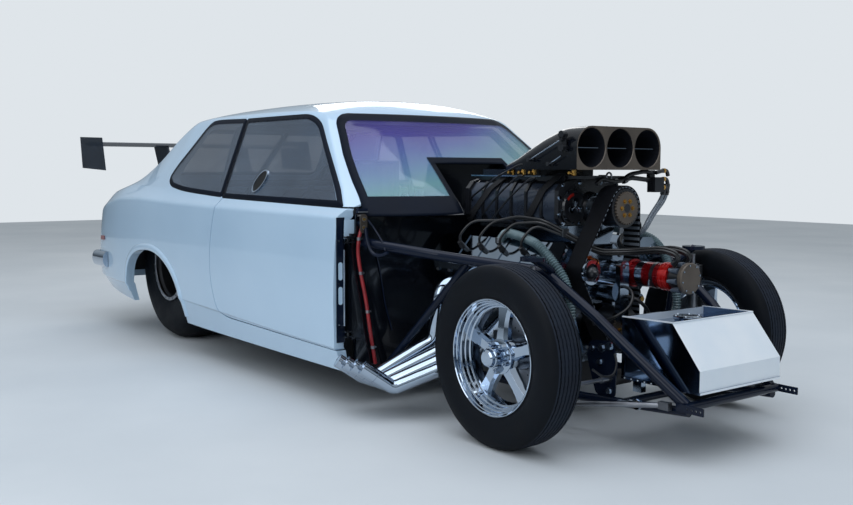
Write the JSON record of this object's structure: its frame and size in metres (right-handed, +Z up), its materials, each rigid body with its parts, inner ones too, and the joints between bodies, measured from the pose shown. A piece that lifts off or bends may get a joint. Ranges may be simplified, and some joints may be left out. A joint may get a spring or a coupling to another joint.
{
  "type": "drag racing car",
  "caption": "Two-door coupe drag racing car with its front clip off: bare supercharged V8, tube frame, nose tank, chromed headers, rear slicks, wing, steering and opening doors.",
  "frame": {"origin": "on the ground under the middle of the car's bounding box", "axes": "+X to the nose, +Y to the car's left, +Z up"},
  "size_m": [4.64, 1.6382, 1.326],
  "materials": {
    "body_white": "gloss white paint",
    "cowl_black": "gloss black paint",
    "frame_black": "semi-gloss black paint on tube",
    "screen_glass": "tinted clear sheet",
    "smoke_glass": "smoked clear sheet",
    "tyre_rubber": "matt black rubber",
    "wheel_chrome": "chrome plate",
    "rear_rim": "dark satin rim",
    "engine_alloy": "machined and polished alloy",
    "engine_dark": "dark cast metal",
    "blower_black": "black coated casting",
    "belt_rubber": "black toothed rubber",
    "magneto_red": "red anodised body",
    "pipe_chrome": "chromed tube",
    "tank_alloy": "polished sheet",
    "steel": "bare and zinc steel",
    "seat_trim": "black padded fabric",
    "wing_black": "gloss black composite",
    "lamp_red": "red lens",
    "hose_rubber": "rubber hose",
    "floor_alloy": "dull sheet"
  },
  "bodies": {
    "chassis": {"body_shell": "body_white", "windscreen": "screen_glass", "rear_window": "smoke_glass", "quarter_window_right": "smoke_glass", "quarter_window_left": "smoke_glass", "cowl_panel": "cowl_black", "firewall": "cowl_black", "front_frame": "frame_black", "roll_cage": "frame_black", "rear_frame": "frame_black", "floor_pan": "floor_alloy", "wheel_tubs": "floor_alloy", "front_arms": "steel", "steering_rack": "engine_alloy", "engine_block": "engine_alloy", "oil_pan": "engine_alloy", "cylinder_heads": "engine_alloy", "rocker_covers": "engine_alloy", "intake_manifold": "engine_alloy", "blower": "blower_black", "injector_hat": "blower_black", "blower_drive": "blower_black", "blower_belt": "belt_rubber", "front_drive": "engine_alloy", "magneto": "magneto_red", "headers_right": "pipe_chrome", "headers_left": "pipe_chrome", "fuel_tank": "tank_alloy", "gearbox": "engine_alloy", "rear_axle": "steel", "seat": "seat_trim", "dash_panel": "cowl_black", "steering_wheel": "cowl_black", "rear_wing": "wing_black", "wing_end_plates": "smoke_glass", "rear_bumper": "wheel_chrome", "lamps": "lamp_red", "hoses": "hose_rubber"},
    "knuckle_right": {"knuckle_right": "steel"},
    "knuckle_left": {"knuckle_left": "steel"},
    "wheel_front_right": {"front_wheel_right": "wheel_chrome", "front_tyre_right": "tyre_rubber"},
    "wheel_front_left": {"front_wheel_left": "wheel_chrome", "front_tyre_left": "tyre_rubber"},
    "wheels_rear": {"rear_wheel_right": "rear_rim", "rear_wheel_left": "rear_rim", "rear_tyre_right": "tyre_rubber", "rear_tyre_left": "tyre_rubber"},
    "rack_bar": {"rack_bar": "steel"},
    "door_right": {"door_right": "body_white", "door_window_right": "smoke_glass"},
    "door_left": {"door_left": "body_white", "door_window_left": "smoke_glass"}
  },
  "joints": [
    {"name": "steer_right", "type": "hinge", "parent": "chassis", "child": "knuckle_right", "pos_m": [1.708, -0.455, 0.3], "axis": [0, 0, 1], "range_deg": [-20, 20]},
    {"name": "steer_left", "type": "hinge", "parent": "chassis", "child": "knuckle_left", "pos_m": [1.708, 0.455, 0.3], "axis": [0, 0, 1], "range_deg": [-20, 20]},
    {"name": "rack_slide", "type": "slide", "parent": "chassis", "child": "rack_bar", "axis": [0, 1, 0], "range_m": [-0.0672, 0.0672]},
    {"name": "spin_front_right", "type": "hinge", "parent": "knuckle_right", "child": "wheel_front_right", "pos_m": [1.708, -0.592, 0.326], "axis": [0, 1, 0], "continuous": true},
    {"name": "spin_front_left", "type": "hinge", "parent": "knuckle_left", "child": "wheel_front_left", "pos_m": [1.708, 0.592, 0.326], "axis": [0, 1, 0], "continuous": true},
    {"name": "spin_rear", "type": "hinge", "parent": "chassis", "child": "wheels_rear", "pos_m": [-1.12, 0, 0.419], "axis": [0, 1, 0], "continuous": true},
    {"name": "door_right_hinge", "type": "hinge", "parent": "chassis", "child": "door_right", "pos_m": [0.942, -0.748, 0.505], "axis": [0, 0, 1], "range_deg": [0, 65]},
    {"name": "door_left_hinge", "type": "hinge", "parent": "chassis", "child": "door_left", "pos_m": [0.942, 0.748, 0.505], "axis": [0, 0, -1], "range_deg": [0, 65]}
  ],
  "couplings": [
    {"joint": "steer_left", "follows": "steer_right", "ratio": 1},
    {"joint": "rack_slide", "follows": "steer_right", "m_per_rad": 0.192}
  ]
}
